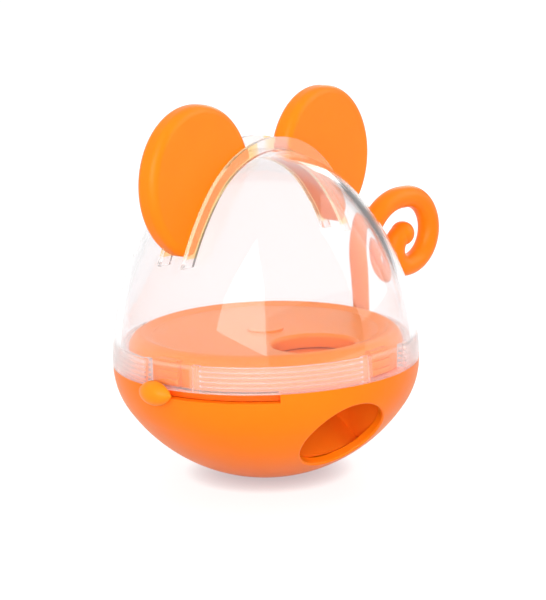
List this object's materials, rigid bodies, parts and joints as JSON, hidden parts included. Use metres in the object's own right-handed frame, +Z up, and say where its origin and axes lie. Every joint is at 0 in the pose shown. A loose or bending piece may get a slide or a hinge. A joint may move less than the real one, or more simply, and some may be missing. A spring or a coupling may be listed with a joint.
{
  "type": "cat treat dispenser toy",
  "caption": "Mouse-shaped roly-poly treat dispenser: clear lift-off dome with disc ears over a weighted round bowl with an outlet, a shutter turned by a nose knob, and a curled tail.",
  "frame": {"origin": "centre of the flat land under the bowl that the toy rests on", "axes": "+Z up along the body's axis, -Y towards the nose knob at rest, +Y towards the tail, the outlet about 12 degrees from +X towards -Y"},
  "size_m": [0.08, 0.1173, 0.0989],
  "materials": {
    "orange_plastic": "smooth moulded orange ABS with a soft gloss",
    "knob_plastic": "smooth moulded amber ABS",
    "clear_plastic": "polished clear styrene",
    "steel": "turned and zinc-plated steel"
  },
  "bodies": {
    "base": {"bowl": "orange_plastic", "counterweight": "steel", "chute_tray": "orange_plastic", "tray_screws": "steel", "partition": "orange_plastic", "pivot_washer": "steel", "pivot_screw": "steel", "tail": "orange_plastic", "tail_screw": "steel"},
    "gate": {"shutter": "orange_plastic", "slider": "orange_plastic", "nose_knob": "knob_plastic"},
    "lid": {"dome": "clear_plastic", "ear_front": "orange_plastic", "ear_back": "orange_plastic"}
  },
  "joints": [
    {"name": "shutter_turn", "type": "hinge", "parent": "base", "child": "gate", "pos_m": [0, 0, 0.0332], "axis": [0, 0, 1], "range_deg": [0, 43]},
    {"name": "dome_lift", "type": "slide", "parent": "base", "child": "lid", "axis": [0, 0, 1], "range_m": [0, 0.06]}
  ]
}
